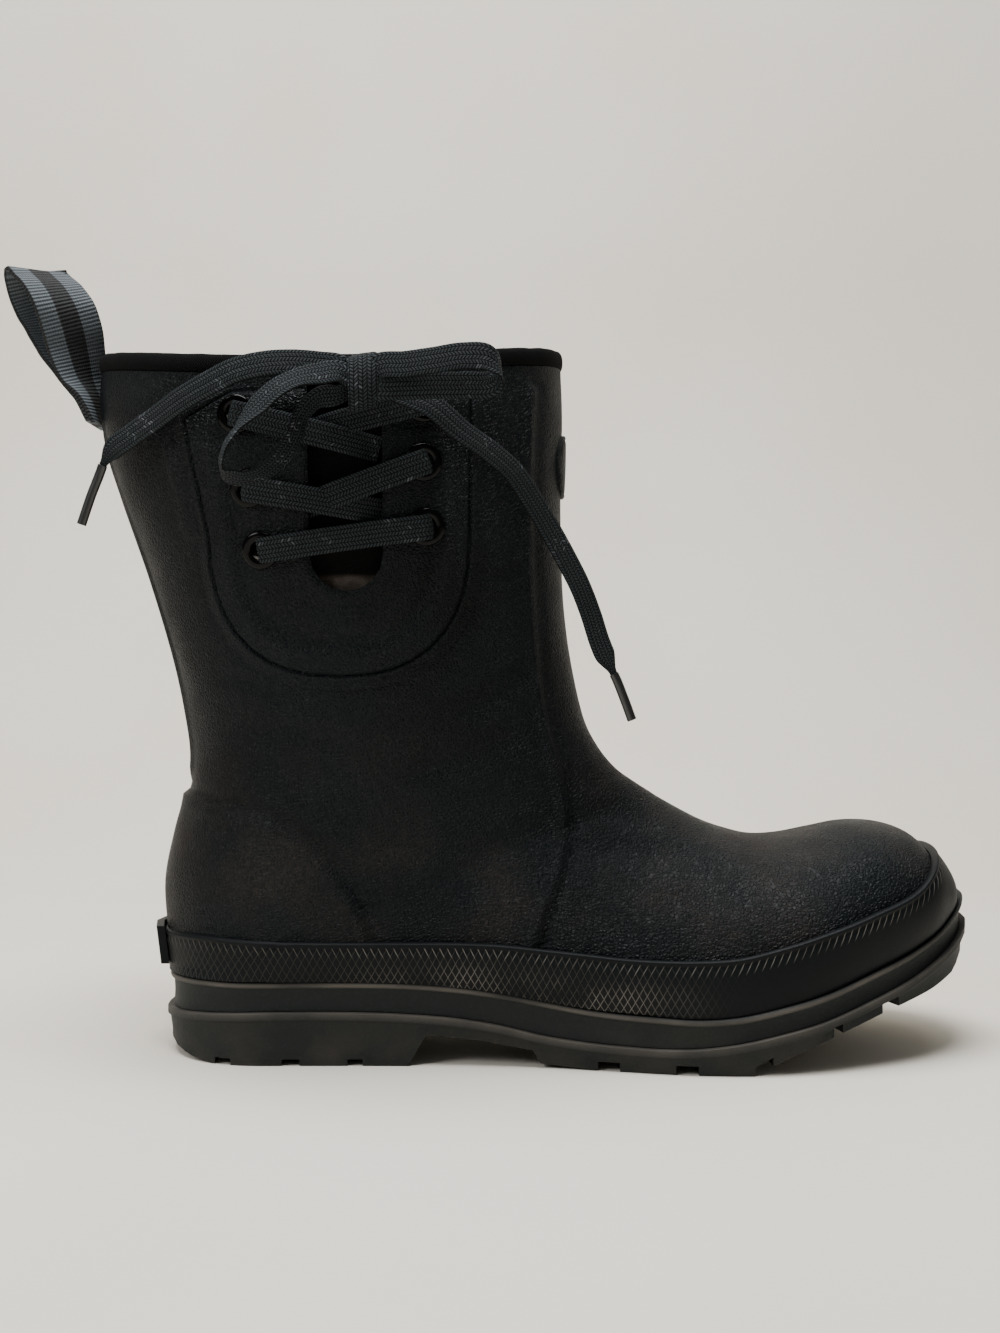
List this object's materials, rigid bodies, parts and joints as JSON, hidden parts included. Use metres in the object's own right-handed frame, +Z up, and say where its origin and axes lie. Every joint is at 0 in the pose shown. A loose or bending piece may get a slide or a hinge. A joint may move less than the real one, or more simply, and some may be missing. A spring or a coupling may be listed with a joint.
{
  "type": "lace-up rain boot",
  "caption": "Ankle-high rubber rain boot with a side lace panel, tied bow, padded collar edge, rear pull loop and lugged sole.",
  "frame": {"origin": "on the floor, on the flat tread of the heel, under its middle line", "axes": "+X from heel to toe, +Z up, -Y to the outer side of the foot, which carries the laces"},
  "size_m": [0.3436, 0.1291, 0.2767],
  "materials": {
    "upper_rubber": "semi-matte, fine leather grain",
    "foxing_rubber": "matte, knurled",
    "sole_rubber": "matte, slightly dusty",
    "insole_felt": "felt",
    "gusset_cloth": "woven, matte",
    "binding_knit": "knit, matte",
    "loop_webbing": "woven stripes",
    "lace_cloth": "flat weave",
    "eyelet_metal": "gloss enamel",
    "aglet_plastic": "gloss"
  },
  "bodies": {
    "root": {"outsole": "sole_rubber", "midsole": "sole_rubber", "insole": "insole_felt", "upper": "upper_rubber", "gusset": "gusset_cloth", "foxing": "foxing_rubber", "heel_kick_tab": "foxing_rubber", "heel_counter": "upper_rubber", "backstay": "upper_rubber", "front_seam_outer": "upper_rubber", "front_seam_inner": "upper_rubber", "side_strip": "upper_rubber", "lace_panel": "upper_rubber", "front_badge": "upper_rubber", "collar_binding": "binding_knit", "pull_loop": "loop_webbing", "eyelet_back_top": "eyelet_metal", "eyelet_back_middle": "eyelet_metal", "eyelet_back_bottom": "eyelet_metal", "eyelet_front_top": "eyelet_metal", "eyelet_front_middle": "eyelet_metal", "eyelet_front_bottom": "eyelet_metal", "lace_crossing_lower": "lace_cloth", "lace_crossing_upper": "lace_cloth", "lace_bar_bottom": "lace_cloth", "lace_knot": "lace_cloth", "lace_loop_back": "lace_cloth", "lace_loop_front": "lace_cloth", "lace_end_back": "lace_cloth", "lace_end_front": "lace_cloth", "aglet_back": "aglet_plastic", "aglet_front": "aglet_plastic"}
  },
  "joints": []
}
